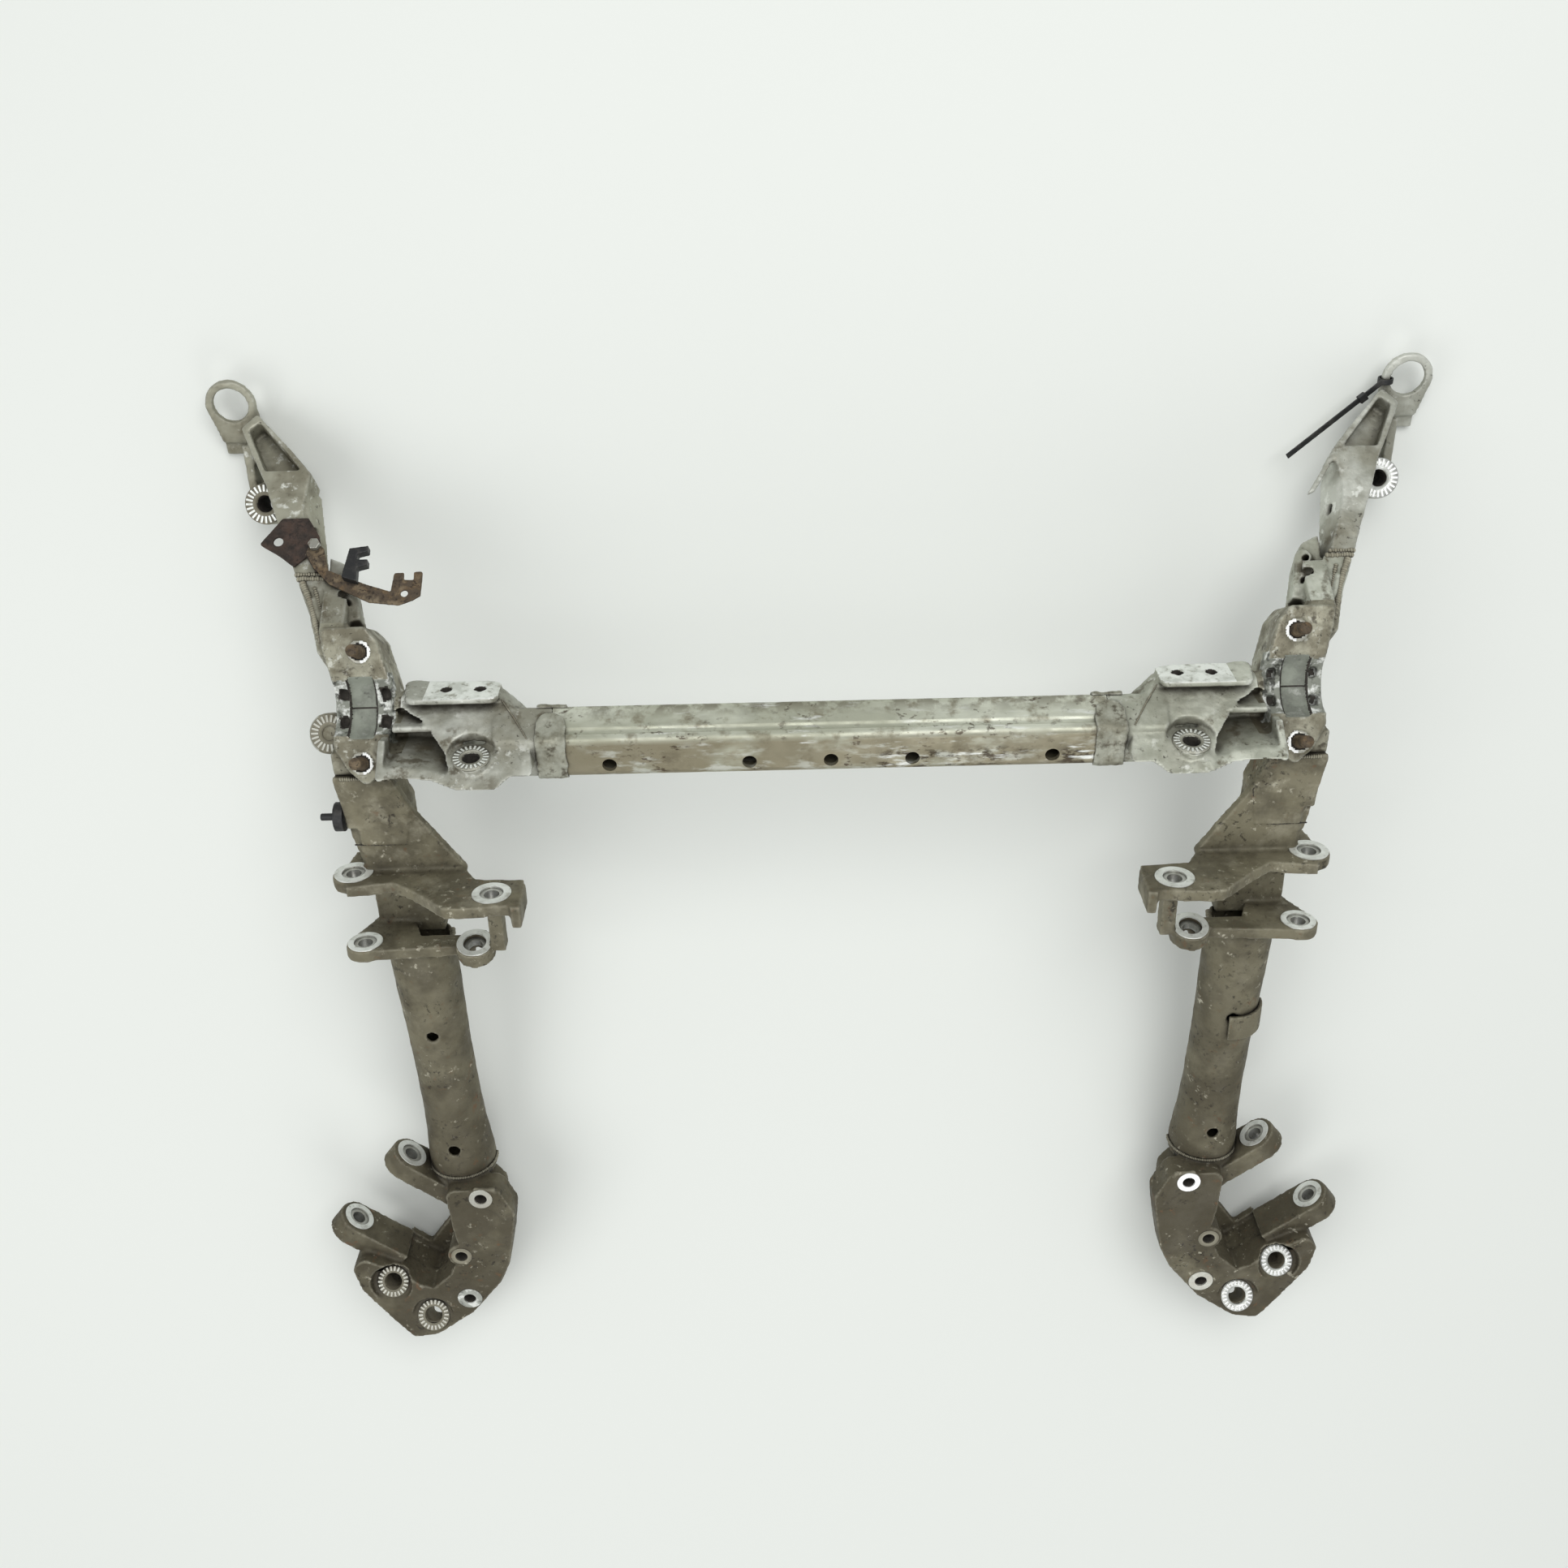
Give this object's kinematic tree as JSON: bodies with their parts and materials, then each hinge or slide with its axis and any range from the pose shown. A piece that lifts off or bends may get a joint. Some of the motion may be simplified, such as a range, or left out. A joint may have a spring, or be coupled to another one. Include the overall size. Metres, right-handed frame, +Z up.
{
  "type": "subframe",
  "caption": "Open welded aluminium car subframe: cross tube between cast nodes, arms with eyes, link brackets, side tubes and forked rear castings; carries suspension and steering.",
  "frame": {"origin": "on the floor, under the middle of the outer box", "axes": "+X to the right of the picture, across the car; +Y to the front of the car, along the part as it lies; +Z up, the car's underside up"},
  "size_m": [1.028, 0.8881, 0.2158],
  "materials": {
    "extruded_aluminium": "extruded, dull, light dirt",
    "weld_bead": "welded band, rippled",
    "cast_aluminium": "as cast, dirty, machined faces bright",
    "dirty_aluminium": "as cast under baked-on road dirt",
    "zinc_plated_steel": "bright, worn",
    "rusty_steel": "rusty",
    "black_plastic": "moulded, matt"
  },
  "bodies": {
    "root": {"cross_tube": "extruded_aluminium", "left_tube_collar": "weld_bead", "right_tube_collar": "weld_bead", "left_front_node": "cast_aluminium", "right_front_node": "cast_aluminium", "left_front_arm": "cast_aluminium", "right_front_arm": "cast_aluminium", "left_link_bracket": "dirty_aluminium", "right_link_bracket": "dirty_aluminium", "left_side_tube": "dirty_aluminium", "right_side_tube": "dirty_aluminium", "left_rear_node": "dirty_aluminium", "right_rear_node": "dirty_aluminium", "left_clamp_studs": "rusty_steel", "right_clamp_studs": "rusty_steel", "left_link_sleeves": "zinc_plated_steel", "right_link_sleeves": "zinc_plated_steel", "left_fork_sleeves": "zinc_plated_steel", "right_fork_sleeves": "zinc_plated_steel", "arm_bracket": "rusty_steel", "hose_bracket": "rusty_steel", "bracket_bolt": "zinc_plated_steel", "cable_clip": "black_plastic", "side_clip": "black_plastic", "tube_pad": "dirty_aluminium", "cable_tie": "black_plastic"}
  },
  "joints": []
}
